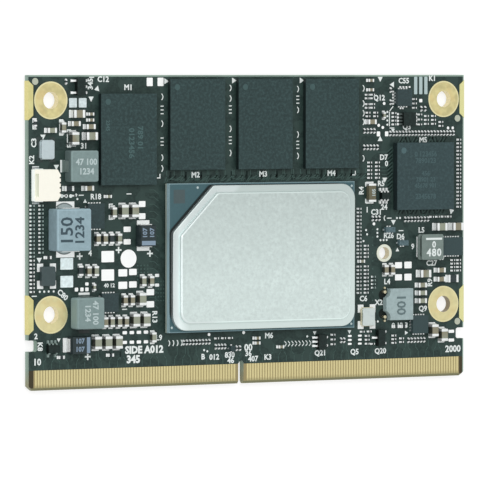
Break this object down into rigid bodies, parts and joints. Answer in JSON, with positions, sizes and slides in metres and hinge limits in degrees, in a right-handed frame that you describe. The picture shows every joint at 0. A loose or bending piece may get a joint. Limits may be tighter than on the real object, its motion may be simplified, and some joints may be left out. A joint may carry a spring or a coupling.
{
  "type": "system on module",
  "caption": "Flat rectangular computer module with a lidded processor, memory packages, power inductors and a keyed gold contact edge that plugs into a carrier board.",
  "frame": {"origin": "middle of the board's outline, at the level of the lowest solder ends under the board", "axes": "+X along the board's long edge, -Y towards the contact fingers, +Z out of the component side"},
  "size_m": [0.082, 0.05, 0.0049],
  "materials": {
    "board_mask": "dark green-black solder mask, satin",
    "gold_plating": "pale gold plating, satin",
    "solder_tin": "bright tin, satin",
    "pad_tin": "pale soldered copper",
    "lid_nickel": "nickel plate, fine satin",
    "substrate_blue": "blue laminate, satin",
    "silicon": "polished silicon",
    "compound_grey": "grey paste",
    "sealant_black": "black adhesive",
    "mould_black": "charcoal moulding compound, fine matt",
    "ferrite_grey": "grey pressed ferrite, matt",
    "ferrite_blue": "blue-grey pressed ferrite, matt",
    "ferrite_pale": "pale grey pressed ferrite, matt",
    "ferrite_drum": "dark grey ferrite, matt",
    "winding_resin": "resin-coated winding",
    "terminal_copper": "tinned copper",
    "tantalum_black": "black moulding compound",
    "ivory_plastic": "ivory moulded plastic",
    "crystal_ceramic": "dark ceramic",
    "crystal_metal": "satin plated metal",
    "capacitor_ceramic": "tan ceramic",
    "resistor_black": "black film",
    "tiny_ceramic": "brown ceramic",
    "fuse_olive": "olive laminate"
  },
  "bodies": {
    "root": {"circuit_board": "board_mask", "fingers_top": "gold_plating", "fingers_bottom": "gold_plating", "mounting_lands": "gold_plating", "edge_plating": "gold_plating", "heatsink_hole_ring": "pad_tin", "heatsink_pad": "pad_tin", "bare_pads": "pad_tin", "part_lands": "pad_tin", "fiducials": "pad_tin", "processor_balls": "solder_tin", "processor_substrate": "substrate_blue", "processor_dies": "silicon", "thermal_compound": "compound_grey", "lid_sealant": "sealant_black", "heat_spreader_lid": "lid_nickel", "storage_chip": "mould_black", "memory_chip_left": "mould_black", "memory_chip_middle": "mould_black", "memory_chip_right": "mould_black", "memory_balls": "solder_tin", "controller_chip": "mould_black", "controller_balls": "solder_tin", "large_choke": "ferrite_blue", "large_choke_terminals": "solder_tin", "upper_choke": "ferrite_grey", "lower_choke": "ferrite_grey", "choke_terminals": "solder_tin", "drum_core": "ferrite_drum", "drum_winding": "winding_resin", "drum_terminals": "solder_tin", "low_choke": "ferrite_pale", "low_choke_terminals": "terminal_copper", "tantalum_bodies": "tantalum_black", "tantalum_terminals": "solder_tin", "socket_housing": "ivory_plastic", "socket_contacts": "solder_tin", "socket_clips": "solder_tin", "oscillator": "tantalum_black", "crystal_bases": "crystal_ceramic", "crystal_lids": "crystal_metal", "large_capacitor_bodies": "capacitor_ceramic", "large_capacitor_ends": "solder_tin", "medium_capacitor_bodies": "capacitor_ceramic", "medium_capacitor_ends": "solder_tin", "small_capacitor_bodies": "capacitor_ceramic", "small_capacitor_ends": "solder_tin", "resistor_bodies": "resistor_black", "resistor_ends": "solder_tin", "tiny_part_bodies": "tiny_ceramic", "tiny_part_ends": "solder_tin", "flat_chips": "mould_black", "flat_chip_contacts": "solder_tin", "leaded_chips": "tantalum_black", "chip_leads": "solder_tin", "fuse_body": "fuse_olive", "fuse_ends": "solder_tin", "underside_capacitor_bodies": "capacitor_ceramic", "underside_capacitor_ends": "solder_tin"}
  },
  "joints": []
}
